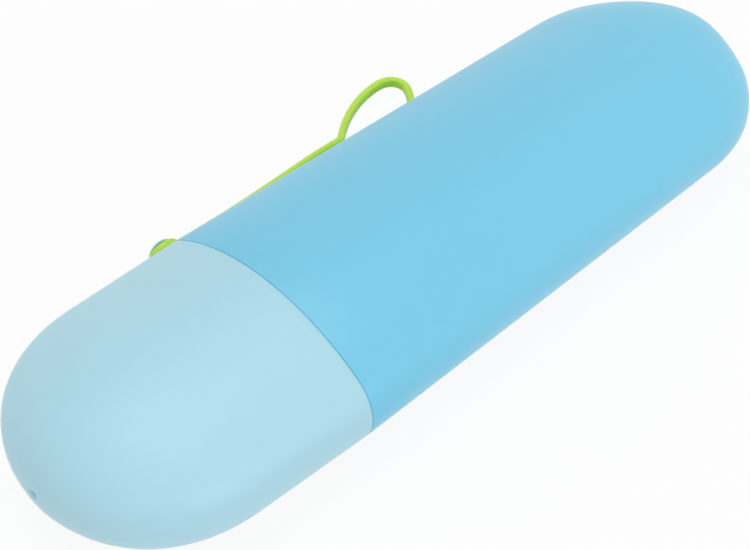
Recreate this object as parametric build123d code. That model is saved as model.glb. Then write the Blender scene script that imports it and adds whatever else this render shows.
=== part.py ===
from build123d import *

import os
from math import cos, pi, radians, sin

# Electric toothbrush travel case: a capsule of two moulded shells lying on its broad face.
# The case axis runs along X, from the cap's tip at 0 to the body's far end. Y is across the
# case, positive on the side with the strap and the finger loop, and Z is up through it.
# Everything is built about the case axis, and moved at the end so that the origin is the
# middle of the underside of the whole part's box. All sizes are in millimetres.

# Outer form
LENGTH = 220.0  # cap tip to far end
HALF_WIDTH = 32.3  # half the width of the oval section
HALF_THICK = 17.5  # half its thickness
ARC_JOINT = 57.0  # slope at which the section's side arcs meet its broad arcs, in degrees
CAP_LENGTH = 60.0  # cap tip to the parting line
CAP_TAPER = 0.071  # share of its size that the cap loses towards the tip
CAP_DOME = 31.1  # length of the rounded end of the cap
CAP_DOME_POWER_WIDE = 2.13  # 2 is an elliptical dome, more is squarer
CAP_DOME_POWER_THIN = 2.45
END_DOME = 34.6  # length of the rounded far end
END_DOME_POWER_WIDE = 2.16
END_DOME_POWER_THIN = 3.22
WALL = 1.5  # both shells
PARTING_GAP = 0.3  # between the two rims
VENT_RADIUS = 1.25  # airing hole in the cap's tip
TIP_FLAT = 0.06  # depth of dome left off each tip, which gives it a small flat

# Neck sleeve, the spigot that the cap slides over
NECK_IN_CAP = 12.0
NECK_IN_BODY = 12.0
NECK_WALL = 1.2
NECK_GAP = 0.2  # between the sleeve and both shells
BEAD_HEIGHT = 0.12  # ring on the sleeve that clicks into the cap's groove
BEAD_WIDTH = 1.4
BEAD_SETBACK = 3.0  # from the sleeve's front edge
BEAD_CLEARANCE = 0.2
CATCH_LENGTH = 4.0  # catches that lock the sleeve into the body
CATCH_WIDTH = 7.0
CATCH_HEIGHT = 0.7
CATCH_SETBACK = 4.0  # from the sleeve's rear edge
CATCH_OFFSET = 13.0  # across, from the axis
CATCH_CLEARANCE = 0.15

# Cradle that holds the toothbrush handle and the two head cups
CRADLE_GAP = 0.2  # to the body's wall, the neck and the stop ribs
FRONT_PLATE = 3.0
REAR_PLATE = 2.0
REAR_PLATE_AT = 78.0  # behind the front plate's face
COLLAR_CLEAR = 0.8  # between the collar and the shell's broad walls
COLLAR_WALL = 1.2
COLLAR_LENGTH = 16.0  # behind the front plate
COLLAR_SLOTS = 4
COLLAR_SLOT_WIDTH = 3.0
COLLAR_ROOT = 3.0  # uncut stretch next to the plate
RAIL_WIDTH = 1.6
RAIL_HEIGHT = 4.5
RAIL_CLEAR = 1.2  # from the collar across to a rail
RAIL_DROP = 4.0  # from the shell's broad wall down to a rail's far edge, at the axis

# Cups for two spare brush heads
CUP_BORE = 5.6
CUP_WALL = 0.9
CUP_LENGTH = 34.0
CUP_LEDGE = 1.2
CUP_OUTLET = 4.7  # open end that drains the cup, inside the ledge that the head stands on
CUP_FLANGE = 0.7  # flange beyond the cup's wall
CUP_FLANGE_THICK = 1.2
CUP_EDGE = 0.8  # between a cup's flange and the side of the cradle's plate
CUP_GAP = 0.1

# Ribs inside the body
RIB_THICK = 1.2
STOP_RIB_HEIGHT = 2.6
STOP_RIB_LENGTH = 24.0
STOP_RIB_OFFSET = 13.0
CROSS_RIBS = 20.0  # from the far end to the ribs' front edge, where the handle stands

# Stud on the cap's rim, and the tongue that carries it across the parting line
STUD_PAST_RIM = 0.1  # stud's axis, beyond the parting line
TONGUE_RADIUS = 5.2
TONGUE_GAP = 0.3
STUD_HEAD_RADIUS = 3.4
STUD_HEAD_THICK = 1.0
STUD_EDGE = 0.45  # upright edge of the head, below its domed crown
STUD_STEM_RADIUS = 1.6
STUD_SHANK_RADIUS = 1.2  # through the cap's wall
SHANK_GAP = 0.05
STUD_TIP = 0.5  # below the clip
CLIP_RADIUS = 2.6
CLIP_THICK = 0.7
CLIP_NOTCHES = 3
CLIP_NOTCH_RADIUS = 0.45
BOSS_DEPTH = 0.5  # flat seat for the clip, below the cap's inner wall
STUD_SLOT_GAP = 0.5  # around the boss, in the neck sleeve

# Strap: eyelet, band and finger loop, one soft moulding on the real thing
STRAP_LIFT = 0.2  # strap's underside above the shells, at the stud
EYELET_RADIUS = 4.4
EYELET_HOLE = 1.9
EYELET_THICK = 2.2
HEAD_LIFT = 0.2  # stud's head above the eyelet
BAND_WIDTH = 4.2
BAND_THICK = 2.1
BAND_END_GAP = 0.05  # between the band and the eyelet's rim
KNUCKLE_RADIUS = 1.05
KNUCKLE_GAP = 0.3
KNUCKLE_OUT = 3.15  # height of the bending axis above the side of the case
KNUCKLE_BEFORE_FOOT = 0.1  # bending axis, before the loop's front foot
FOOT_FRONT = 114.3  # loop's feet, along the case
FOOT_REAR = 140.9
LOOP_THICK = 2.25  # section of the loop, in its own plane
LOOP_WIDTH = 3.35
LOOP_CORNER = 0.65
LOOP_LEAN = 47.8  # slope of the loop's front leg at its foot, in degrees
LOOP_SHOULDER_BEHIND = 17.5  # joints of the loop's arcs, behind the front foot
LOOP_SHOULDER_OUT = 11.65  # and out from the side of the case
LOOP_CROWN_BEHIND = 28.1
LOOP_CROWN_OUT = 13.4
LOOP_BACK_BEHIND = 31.4
LOOP_BACK_OUT = 6.8
LOOP_ROOT = 1.0  # loop's centreline inside the wall, at each foot
FOOT_GAP = 0.02  # between the loop's legs and the shell that they stand on
PLUG_RADIUS = 1.15
PLUG_GAP = 0.05
BARB_RADIUS = 2.1
BARB_LENGTH = 1.6
BARB_GAP = 0.45  # between the barb and the body's inner wall, at the plug

# Worked out from the sizes above
CAP_RIM = CAP_LENGTH - PARTING_GAP / 2
BODY_RIM = CAP_LENGTH + PARTING_GAP / 2
NECK_START = CAP_LENGTH - NECK_IN_CAP
NECK_END = CAP_LENGTH + NECK_IN_BODY
NECK_INSET = WALL + NECK_GAP
CRADLE_START = NECK_END + CRADLE_GAP
CRADLE_INSET = WALL + CRADLE_GAP
REAR_PLATE_START = CRADLE_START + REAR_PLATE_AT
STOP_START = REAR_PLATE_START + REAR_PLATE + CRADLE_GAP
HANDLE_RADIUS = HALF_THICK - WALL - COLLAR_CLEAR - COLLAR_WALL  # bore for the handle
HANDLE_END = LENGTH - CROSS_RIBS
RAIL_OFFSET_Y = HANDLE_RADIUS + COLLAR_WALL + RAIL_CLEAR + RAIL_WIDTH / 2
RAIL_OFFSET_Z = HALF_THICK - WALL - RAIL_DROP - RAIL_HEIGHT / 2
CUP_RADIUS = CUP_BORE + CUP_WALL
CUP_OFFSET = HALF_WIDTH - CRADLE_INSET - CUP_EDGE - CUP_FLANGE - CUP_RADIUS
STUD_X = CAP_LENGTH + STUD_PAST_RIM
SIDE = HALF_WIDTH  # the case's side, on the strap's side
BOSS_RADIUS = CLIP_RADIUS + 0.2
KNUCKLE_X = FOOT_FRONT - KNUCKLE_BEFORE_FOOT
CAP_BANDS = 8  # sections that each rounded end's smooth outside passes through, less one
END_BANDS = 9
INNER_BANDS = 6  # plain tapering bands that it is made of inside


def dome(depth, length, power):
    """Share of its full size that a rounded end has, at a depth behind its tip."""
    left = max(0.0, 1.0 - (depth + TIP_FLAT) / (length + TIP_FLAT))
    return (1.0 - left**power) ** (1.0 / power)


def half_size(x, inset, full, cap_power, end_power):
    """Half the width or thickness of the form at x, set in from the outside by inset."""
    taper = 1.0 - CAP_TAPER * max(0.0, 1.0 - x / CAP_RIM)
    front = dome(x - inset, CAP_DOME - inset, cap_power)
    back = dome(LENGTH - inset - x, END_DOME - inset, end_power)
    return (full - inset) * taper * front * back


def oval(x, inset=0.0):
    """Oval section of the form across the case axis at x: four arcs, each tangent to the next."""
    wide = half_size(x, inset, HALF_WIDTH, CAP_DOME_POWER_WIDE, END_DOME_POWER_WIDE)
    thin = half_size(x, inset, HALF_THICK, CAP_DOME_POWER_THIN, END_DOME_POWER_THIN)
    across, up = cos(radians(ARC_JOINT)), sin(radians(ARC_JOINT))
    side = (wide * (1 - up) - thin * across) / (1 - up - across)
    broad = (thin * (1 - across) - wide * up) / (1 - up - across)
    side_sweep = 2 * ARC_JOINT
    broad_sweep = 180 - side_sweep
    outline = Wire(
        [
            CenterArc((wide - side, 0), side, -ARC_JOINT, side_sweep),
            CenterArc((0, thin - broad), broad, ARC_JOINT, broad_sweep),
            CenterArc((side - wide, 0), side, 180 - ARC_JOINT, side_sweep),
            CenterArc((0, broad - thin), broad, 180 + ARC_JOINT, broad_sweep),
        ]
    )
    return Plane(origin=(x, 0, 0), x_dir=(0, 1, 0), z_dir=(1, 0, 0)) * Face(outline)


def dome_depths(length, bands):
    """Depths behind a tip, closer together near it, of a dome's sections."""
    return [length * (1.0 - cos(pi / 2 * i / bands)) for i in range(bands + 1)]


def cap_form(inset, end):
    """Closed cap-shaped solid from the tip to end."""
    depths = dome_depths(CAP_DOME - inset, INNER_BANDS if inset else CAP_BANDS)
    places = [inset + depth for depth in depths] + [end]
    sections = [oval(x, inset) for x in places]
    return loft(sections[:-1], ruled=inset > 0) + loft(sections[-2:])


def body_form(inset, start):
    """Closed body-shaped solid from start to the far end."""
    depths = dome_depths(END_DOME - inset, INNER_BANDS if inset else END_BANDS)
    places = [LENGTH - inset - depth for depth in reversed(depths)]
    rounded = loft([oval(x, inset) for x in places], ruled=inset > 0)
    return bar(start, LENGTH - END_DOME, inset) + rounded


def bar(start, end, inset):
    """Solid oval bar, with the section that the form has from the parting line backwards."""
    face = oval(CAP_LENGTH, inset)
    return Pos(start - CAP_LENGTH, 0, 0) * extrude(face, end - start, dir=(1, 0, 0))


def tube(start, end, outer, inner):
    """Oval tube between two insets, with that same section."""
    return bar(start, end, outer) - bar(start, end, inner)


def block(x0, x1, y0, y1, z0, z1):
    """Box between two corners."""
    middle = Pos((x0 + x1) / 2, (y0 + y1) / 2, (z0 + z1) / 2)
    return middle * Box(x1 - x0, y1 - y0, z1 - z0)


def side_pin(x, radius, low, high):
    """Round pin across the strap's side of the case, low and high counted from that side."""
    middle = Pos(x, SIDE + (low + high) / 2, 0) * Rot(90, 0, 0)
    return middle * Cylinder(radius, high - low)


def axis_pin(start, end, radius, y=0.0, z=0.0):
    """Round pin along the case, from start to end."""
    return Pos((start + end) / 2, y, z) * Rot(0, 90, 0) * Cylinder(radius, end - start)


def mirrored(part, planes):
    """The part with its mirror images in each of the planes."""
    for plane in planes:
        part = part + mirror(part, about=plane)
    return part


def cap_shell():
    """Cap with its vent, snap groove, and the tongue and boss that carry the stud."""
    shell = cap_form(0.0, CAP_RIM) - cap_form(WALL, CAP_RIM)
    tongue_wall = tube(CAP_RIM, STUD_X + TONGUE_RADIUS, 0.0, WALL)
    tongue = tongue_wall & side_pin(STUD_X, TONGUE_RADIUS, -SIDE, SIDE)
    boss_top = -WALL + BOSS_DEPTH
    boss = side_pin(STUD_X, BOSS_RADIUS, -WALL - BOSS_DEPTH, boss_top)
    groove_start = NECK_START + BEAD_SETBACK - BEAD_CLEARANCE
    groove_end = groove_start + BEAD_WIDTH + 2 * BEAD_CLEARANCE
    groove_inset = NECK_INSET - BEAD_HEIGHT - BEAD_CLEARANCE
    groove = loft([oval(x, groove_inset) for x in (groove_start, groove_end)])
    part = shell + tongue + boss - groove
    part -= axis_pin(-WALL, 2 * WALL, VENT_RADIUS)
    part -= side_pin(STUD_X, STUD_SHANK_RADIUS + SHANK_GAP, -SIDE / 2, WALL)
    return part


def stop_ribs():
    """Ribs along the broad walls that the cradle's rear plate seats against."""
    ends = (STOP_START, STOP_START + STOP_RIB_LENGTH)
    sides = (STOP_RIB_OFFSET - RIB_THICK / 2, STOP_RIB_OFFSET + RIB_THICK / 2)
    slab = block(*ends, *sides, -HALF_THICK, HALF_THICK)
    wall = tube(*ends, WALL / 2, WALL + STOP_RIB_HEIGHT)
    return mirrored(slab, [Plane.XZ]) & wall


def cross_ribs():
    """Two crossed ribs in the far end, which the toothbrush handle stands against."""
    half = RIB_THICK / 2
    upright = block(HANDLE_END, LENGTH, -half, half, -HALF_THICK, HALF_THICK)
    flat = block(HANDLE_END, LENGTH, -HALF_WIDTH, HALF_WIDTH, -half, half)
    return (upright + flat) & body_form(WALL / 2, LENGTH - END_DOME - WALL)


def catches(grow, lift):
    """Blocks on the neck sleeve's rear half, or with grow and lift the recesses for them."""
    start = NECK_END - CATCH_SETBACK - CATCH_LENGTH
    wall = tube(start - grow, start + CATCH_LENGTH + grow, WALL - lift, NECK_INSET + grow)
    sides = (CATCH_OFFSET - CATCH_WIDTH / 2 - grow, CATCH_OFFSET + CATCH_WIDTH / 2 + grow)
    slab = block(0, LENGTH, *sides, -HALF_THICK, HALF_THICK)
    return mirrored(slab, [Plane.XZ]) & wall


def body_shell():
    """Body with the tongue's notch, the loop's holes, the catch recesses and the ribs."""
    shell = body_form(0.0, BODY_RIM) - body_form(WALL, BODY_RIM)
    part = shell + stop_ribs() + cross_ribs()
    part -= side_pin(STUD_X, TONGUE_RADIUS + TONGUE_GAP, -SIDE / 2, WALL)
    part -= catches(CATCH_CLEARANCE, CATCH_HEIGHT - NECK_GAP + CATCH_CLEARANCE)
    feet = (FOOT_FRONT, FOOT_REAR)
    return part - [side_pin(x, PLUG_RADIUS + PLUG_GAP, -2 * WALL, WALL) for x in feet]


def neck_part(outer, inner):
    """Oval sleeve between two insets, tapered where it is inside the cap."""
    front = [loft([oval(x, i) for x in (NECK_START, CAP_RIM)]) for i in (outer, inner)]
    return front[0] - front[1] + tube(CAP_RIM, NECK_END, outer, inner)


def neck_sleeve():
    """Sleeve with its bead, its catches and the slot that the stud slides out of."""
    part = neck_part(NECK_INSET, NECK_INSET + NECK_WALL)
    bead_start = NECK_START + BEAD_SETBACK
    ends = (bead_start, bead_start + BEAD_WIDTH)
    solid_bead = loft([oval(x, NECK_INSET - BEAD_HEIGHT) for x in ends])
    core = loft([oval(x, NECK_INSET + NECK_WALL / 2) for x in ends])
    part += solid_bead - core
    part += catches(0.0, CATCH_HEIGHT - NECK_GAP)
    slot_half = BOSS_RADIUS + STUD_SLOT_GAP
    slot = block(0, STUD_X, 0, SIDE, -slot_half, slot_half)
    return part - slot - side_pin(STUD_X, slot_half, -SIDE / 2, WALL)


def handle_cradle():
    """Front and rear plates on four rails, with a collar of spring fingers."""
    front = bar(CRADLE_START, CRADLE_START + FRONT_PLATE, CRADLE_INSET)
    rear = bar(REAR_PLATE_START, REAR_PLATE_START + REAR_PLATE, CRADLE_INSET)
    back = CRADLE_START + FRONT_PLATE
    collar_end = back + COLLAR_LENGTH
    collar = axis_pin(CRADLE_START, collar_end, HANDLE_RADIUS + COLLAR_WALL)
    rail = block(
        CRADLE_START,
        REAR_PLATE_START + REAR_PLATE,
        RAIL_OFFSET_Y - RAIL_WIDTH / 2,
        RAIL_OFFSET_Y + RAIL_WIDTH / 2,
        RAIL_OFFSET_Z - RAIL_HEIGHT / 2,
        RAIL_OFFSET_Z + RAIL_HEIGHT / 2,
    )
    rails = mirrored(rail, [Plane.XZ, Plane.XY])
    part = front + rear + collar + rails
    part -= axis_pin(0, LENGTH, HANDLE_RADIUS)
    slot = block(
        back + COLLAR_ROOT,
        collar_end,
        HANDLE_RADIUS / 2,
        HANDLE_RADIUS + 2 * COLLAR_WALL,
        -COLLAR_SLOT_WIDTH / 2,
        COLLAR_SLOT_WIDTH / 2,
    )
    for i in range(COLLAR_SLOTS):
        part -= Rot(360 * (i + 0.5) / COLLAR_SLOTS, 0, 0) * slot
    for y in (-CUP_OFFSET, CUP_OFFSET):
        part -= axis_pin(0, LENGTH, CUP_RADIUS + CUP_GAP, y)
        sink = CRADLE_START + CUP_FLANGE_THICK
        part -= axis_pin(0, sink, CUP_RADIUS + CUP_FLANGE + CUP_GAP, y)
    return part


def head_cup(y):
    """Cup for a spare brush head, with a flange at its mouth and a ledge at its open end."""
    start = CRADLE_START
    end = start + CUP_LENGTH
    part = axis_pin(start, end, CUP_RADIUS, y)
    part += axis_pin(start, start + CUP_FLANGE_THICK, CUP_RADIUS + CUP_FLANGE, y)
    part -= axis_pin(start, end - CUP_LEDGE, CUP_BORE, y)
    return part - axis_pin(start, end, CUP_OUTLET, y)


def cap_stud():
    """Mushroom stud: domed head, stem for the eyelet, shank through the cap's wall."""
    under = STRAP_LIFT + EYELET_THICK + HEAD_LIFT
    top = under + STUD_HEAD_THICK
    rise = STUD_HEAD_THICK - STUD_EDGE
    crown_radius = (STUD_HEAD_RADIUS**2 + rise**2) / (2 * rise)
    crown = Pos(STUD_X, SIDE + top - crown_radius, 0) * Sphere(crown_radius)
    head = side_pin(STUD_X, STUD_HEAD_RADIUS, under, top) & crown
    stem = side_pin(STUD_X, STUD_STEM_RADIUS, 0, under)
    foot = -WALL - BOSS_DEPTH - CLIP_THICK - STUD_TIP
    return head + stem + side_pin(STUD_X, STUD_SHANK_RADIUS, foot, 0)


def stud_clip():
    """Push-on ring that holds the stud's shank on the inside of the cap."""
    top = -WALL - BOSS_DEPTH
    ring = side_pin(STUD_X, CLIP_RADIUS, top - CLIP_THICK, top)
    ring -= side_pin(STUD_X, STUD_SHANK_RADIUS, -SIDE / 2, WALL)
    notch = Pos(STUD_SHANK_RADIUS, 0, 0) * side_pin(0, CLIP_NOTCH_RADIUS, -SIDE / 2, WALL)
    for i in range(CLIP_NOTCHES):
        turn = Rot(0, 360 * i / CLIP_NOTCHES, 0)
        ring -= Pos(STUD_X, 0, 0) * turn * notch
    return ring


def strap_eyelet():
    """Ring of the strap that buttons over the stud, curved to the side of the case."""
    ends = (STUD_X - 2 * EYELET_RADIUS, STUD_X + 2 * EYELET_RADIUS)
    top = STRAP_LIFT + 2 * EYELET_THICK
    ring = side_pin(0, EYELET_RADIUS, -WALL, top) - side_pin(0, EYELET_HOLE, -WALL, top)
    ring = Pos(STUD_X, 0, 0) * Rot(0, 90, 0) * ring
    return (ring & bar(*ends, -STRAP_LIFT - EYELET_THICK)) - bar(*ends, -STRAP_LIFT)


def closure_strap():
    """Band from the eyelet to the knuckle that it bends about, beside the loop's foot."""
    start = (STUD_X, STRAP_LIFT + BAND_THICK / 2)
    end = (KNUCKLE_X, KNUCKLE_OUT)
    run = Vector(end[0] - start[0], end[1] - start[1], 0)
    plane = Plane(origin=(start[0], SIDE + start[1], 0), x_dir=(0, 0, 1), z_dir=run.normalized())
    profile = RectangleRounded(BAND_WIDTH, BAND_THICK, BAND_THICK / 2 - 0.05)
    band = extrude(plane * profile, run.length)
    knuckle = Pos(KNUCKLE_X, SIDE + KNUCKLE_OUT, 0) * Cylinder(KNUCKLE_RADIUS, BAND_WIDTH)
    return band + knuckle - side_pin(STUD_X, EYELET_RADIUS + BAND_END_GAP, -SIDE, SIDE)


def loop_path():
    """Centreline of the loop, a chain of tangent arcs from foot to foot."""
    lean = Vector(1, 0, 0).rotate(Axis.Z, LOOP_LEAN)
    foot = Vector(FOOT_FRONT, SIDE, 0)
    points = [
        foot,
        foot + Vector(LOOP_SHOULDER_BEHIND, LOOP_SHOULDER_OUT),
        foot + Vector(LOOP_CROWN_BEHIND, LOOP_CROWN_OUT),
        foot + Vector(LOOP_BACK_BEHIND, LOOP_BACK_OUT),
        Vector(FOOT_REAR, SIDE, 0),
    ]
    path = Curve() + Line(foot - lean * LOOP_ROOT, foot)
    for start, end in zip(points, points[1:]):
        arc = TangentArc(start, end, tangent=lean)
        lean = arc % 1
        path += arc
    return path + Line(points[-1], points[-1] + lean * LOOP_ROOT)


def finger_loop():
    """Loop with two barbed feet that are pulled through the body's wall."""
    path = loop_path()
    lean = Vector(1, 0, 0).rotate(Axis.Z, LOOP_LEAN)
    root = Vector(FOOT_FRONT, SIDE, 0) - lean * LOOP_ROOT
    across = Plane(origin=root, x_dir=(0, 0, 1), z_dir=lean)
    section = across * chamfer(Rectangle(LOOP_WIDTH, LOOP_THICK).vertices(), LOOP_CORNER)
    part = sweep(section, path=path)
    low = -WALL - BARB_GAP
    wall = bar(FOOT_FRONT - 2 * LOOP_WIDTH, FOOT_REAR + 2 * LOOP_WIDTH, -FOOT_GAP)
    part -= wall
    for x in (FOOT_FRONT, FOOT_REAR):
        part += side_pin(x, PLUG_RADIUS, low, LOOP_ROOT)
        barb = Pos(x, SIDE + low - BARB_LENGTH / 2, 0) * Rot(-90, 0, 0)
        part += barb * Cone(PLUG_RADIUS / 2, BARB_RADIUS, BARB_LENGTH)
    seat = Pos(KNUCKLE_X, SIDE + KNUCKLE_OUT, 0)
    return part - seat * Cylinder(KNUCKLE_RADIUS + KNUCKLE_GAP, 2 * BAND_WIDTH)


def main():
    """Builds every piece, moves it to the part's origin and writes it."""
    pieces = {
        "body_shell": body_shell(),
        "cap_shell": cap_shell(),
        "neck_sleeve": neck_sleeve(),
        "handle_cradle": handle_cradle(),
        "head_cup_left": head_cup(-CUP_OFFSET),
        "head_cup_right": head_cup(CUP_OFFSET),
        "cap_stud": cap_stud(),
        "stud_clip": stud_clip(),
        "finger_loop": finger_loop(),
        "closure_strap": closure_strap(),
        "strap_eyelet": strap_eyelet(),
    }
    reach = pieces["finger_loop"].bounding_box().max.Y
    origin = Pos(-LENGTH / 2, (HALF_WIDTH - reach) / 2, HALF_THICK)
    print("case axis is at y", (HALF_WIDTH - reach) / 2)
    os.makedirs("parts", exist_ok=True)
    for name, piece in pieces.items():
        export_step(origin * piece, f"parts/{name}.step")


main()
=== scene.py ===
"""Looks of an electric toothbrush travel case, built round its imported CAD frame.

The case is a capsule of two moulded shells that lies on its broad side. Its axis runs along X,
with the cap at low X and the far end at high X. Y is across it, positive on the side with the
strap and the finger loop, and Z is up. Everything is in metres, in the frame of the CAD part.
"""

import logging
import math
from dataclasses import dataclass
from enum import Enum
from typing import Any, Callable, Sequence

import bmesh
import bpy
from bpy.types import Material, Node, NodeSocket, Object, World
from mathutils import Matrix, Vector

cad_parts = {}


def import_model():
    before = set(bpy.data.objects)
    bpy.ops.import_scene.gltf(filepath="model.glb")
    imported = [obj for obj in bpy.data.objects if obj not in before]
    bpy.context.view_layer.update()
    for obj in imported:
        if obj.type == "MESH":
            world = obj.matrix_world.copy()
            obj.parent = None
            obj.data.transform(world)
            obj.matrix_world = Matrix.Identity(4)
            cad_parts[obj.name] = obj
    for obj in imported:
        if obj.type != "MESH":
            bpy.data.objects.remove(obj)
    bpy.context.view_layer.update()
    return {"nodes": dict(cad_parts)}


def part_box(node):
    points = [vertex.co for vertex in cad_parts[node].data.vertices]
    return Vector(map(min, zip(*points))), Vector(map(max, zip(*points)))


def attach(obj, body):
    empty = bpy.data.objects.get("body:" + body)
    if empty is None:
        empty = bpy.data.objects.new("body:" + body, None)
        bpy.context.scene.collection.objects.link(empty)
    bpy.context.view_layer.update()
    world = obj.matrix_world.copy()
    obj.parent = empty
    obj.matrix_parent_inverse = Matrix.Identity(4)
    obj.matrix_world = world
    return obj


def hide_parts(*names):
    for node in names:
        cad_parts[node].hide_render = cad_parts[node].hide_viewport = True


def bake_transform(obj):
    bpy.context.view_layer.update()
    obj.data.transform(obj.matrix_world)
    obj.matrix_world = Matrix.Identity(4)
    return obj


log = logging.getLogger("toothbrush_case")

MM = 0.001
WELD = 0.002 * MM  # points of a turned profile that are nearer than this are one
OVAL_WELD, LOOP_WELD = 0.01 * MM, 0.005 * MM  # the same for the case's oval and for the loop
SQUARE_ON = 0.99  # how squarely a face looks along X to be part of a rim
PARTING_GAP = 0.3 * MM  # between the rims of cap and body
SIDE_STEPS, BROAD_STEPS = 44, 30  # steps in each side arc and broad arc of the oval
STRAIGHT_STEPS, DOME_STEPS = 10, 34  # steps along a shell's straight part and its rounded end
LOOP_STEP = 0.7 * MM  # length of the steps along the finger loop
BAND_STEPS = 60  # steps along the band
FEET = (114.3 * MM, 140.9 * MM)  # the loop's feet, from the cap's tip
KNUCKLE = (FEET[0] - 0.1 * MM, 3.15 * MM)  # from the cap's tip, and out from the side
CRADLE_GAP = 0.2 * MM  # between the cradle's rear plate and the stop ribs
CROSS_RIBS = 20 * MM  # from the far end to the front of the crossed ribs
WHITE = (1.0, 1.0, 1.0, 1.0)
Pair = tuple[float, float]
Triple = tuple[float, float, float]
Colour = Triple


class Body(str, Enum):
    """The bodies of the CAD part that pieces ride on."""

    CASE = "case_body"
    CAP = "cap"
    STRAP = "strap"


class End(Enum):
    """Which way a shell runs from its rim: the sign is its direction along X."""

    CAP = -1
    FAR = 1


# --- Shader expressions ---


class Value:
    """A socket that carries a number, with arithmetic that adds Math nodes."""

    def __init__(self, shader: "Shader", socket: NodeSocket) -> None:
        """Keeps the shader that the socket belongs to, and the socket."""
        self.shader = shader
        self.socket = socket

    def _math(self, operation: str, first: Any, second: Any) -> "Value":
        """Adds one Math node on two numbers or sockets and returns its result."""
        values = {0: first, 1: second}
        return self.shader.number("ShaderNodeMath", {"operation": operation}, values)

    def __add__(self, other: Any) -> "Value":
        """Sum."""
        return self._math("ADD", self, other)

    __radd__ = __add__

    def __mul__(self, other: Any) -> "Value":
        """Product."""
        return self._math("MULTIPLY", self, other)

    __rmul__ = __mul__

    def __sub__(self, other: Any) -> "Value":
        """Difference."""
        return self._math("SUBTRACT", self, other)


class Shader:
    """The nodes of a material or of the world, under construction."""

    def __init__(self, owner: Material | World) -> None:
        """Starts with no nodes.

        Args:
            owner: The material or world that the nodes belong to.
        """
        owner.use_nodes = True
        self.nodes = owner.node_tree.nodes
        self.links = owner.node_tree.links
        self.nodes.clear()

    def node(self, kind: str, settings: dict[str, Any], values: dict[Any, Any]) -> Node:
        """Adds a node.

        Args:
            kind: The node's type.
            settings: Its own settings, set before its sockets.
            values: A number, colour, Value or socket for each input, by name or index.

        Returns:
            The new node.
        """
        made = self.nodes.new(kind)
        for key, setting in settings.items():
            setattr(made, key, setting)
        for key, value in values.items():
            if isinstance(value, Value):
                value = value.socket
            if isinstance(value, NodeSocket):
                self.links.new(value, made.inputs[key])
            else:
                made.inputs[key].default_value = value
        return made

    def number(
        self, kind: str, settings: dict[str, Any], values: dict[Any, Any], out: Any = 0
    ) -> Value:
        """Adds a node and returns one of its outputs as a Value."""
        return Value(self, self.node(kind, settings, values).outputs[out])

    def noise(self, scale: float, detail: float, roughness: float = 0.55) -> Value:
        """Adds noise on Object coordinates.

        Args:
            scale: Features per metre, roughly.
            detail: Octaves of finer noise.
            roughness: How strong each octave is, as a share of the one before.

        Returns:
            The noise's factor, from 0 to 1.
        """
        place = self.node("ShaderNodeTexCoord", {}, {}).outputs["Object"]
        values = {"Vector": place, "Scale": scale, "Detail": detail, "Roughness": roughness}
        return self.number("ShaderNodeTexNoise", {}, values, "Fac")

    def looked_at(self) -> Value:
        """Tells what is looked at from what only sends soft light.

        Returns:
            1 where a surface is seen directly, in a reflection or through glass, and 0 elsewhere.
        """
        path = self.node("ShaderNodeLightPath", {}, {})
        rays = ("Is Camera Ray", "Is Glossy Ray", "Is Transmission Ray")
        camera, glossy, through = (Value(self, path.outputs[ray]) for ray in rays)
        return camera + glossy + through

    def blend_colours(self, factor: Value, first: Colour, second: Colour) -> NodeSocket:
        """Mixes two colours.

        Args:
            factor: 0 for the first colour, 1 for the other.
            first: One colour.
            second: The other.

        Returns:
            The socket of the mixed colour.
        """
        settings = {"data_type": "RGBA", "blend_type": "MIX"}
        values = {0: factor, 6: (*first, 1.0), 7: (*second, 1.0)}
        return self.node("ShaderNodeMix", settings, values).outputs[2]

    def blend_shaders(self, factor: Value, first: Node, second: Node) -> NodeSocket:
        """Mixes the first outputs of two shaders by a factor and returns the mix."""
        values = {0: factor, 1: first.outputs[0], 2: second.outputs[0]}
        return self.node("ShaderNodeMixShader", {}, values).outputs[0]


def linear(*screen: int) -> Colour:
    """Turns a colour as a screen shows it into Blender's linear one.

    Args:
        screen: Red, green and blue, from 0 to 255.

    Returns:
        The linear colour.
    """
    shares = [value / 255 for value in screen]
    # The sRGB curve: straight near black and a power above.
    red, green, blue = (
        share / 12.92 if share <= 0.04045 else ((share + 0.055) / 1.055) ** 2.4
        for share in shares
    )
    return red, green, blue


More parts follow.
